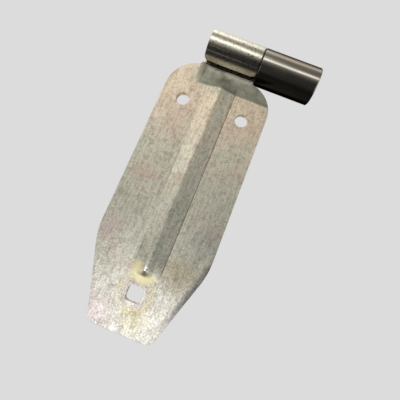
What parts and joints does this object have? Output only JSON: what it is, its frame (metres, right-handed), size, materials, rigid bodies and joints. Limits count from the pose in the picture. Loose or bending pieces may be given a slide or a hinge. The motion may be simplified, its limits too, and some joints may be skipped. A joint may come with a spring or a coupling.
{
  "type": "tailgate hinge",
  "caption": "Long flat strap hinge: ribbed steel strap with a rolled knuckle, turning on a pin in a weld-on bush.",
  "frame": {"origin": "midway between the two upper holes, on the strap's flat back face", "axes": "+X along the hinge axis from the knuckle to the bush, +Y from the holes to the hinge axis, +Z out of the strap's front face"},
  "size_m": [0.0759, 0.1651, 0.02],
  "materials": {
    "zinc_plated_steel": "zinc plated and passivated, satin, finely mottled",
    "bare_tube_steel": "bare cold-drawn tube, dark, oiled",
    "bright_bar_steel": "bright drawn bar"
  },
  "bodies": {
    "strap": {"strap": "zinc_plated_steel"},
    "bush": {"weld_on_bush": "bare_tube_steel", "hinge_pin": "bright_bar_steel"}
  },
  "joints": [
    {"name": "barrel_hinge", "type": "hinge", "parent": "strap", "child": "bush", "pos_m": [0, 0.0341, -0.0005], "axis": [1, 0, 0], "continuous": true}
  ]
}
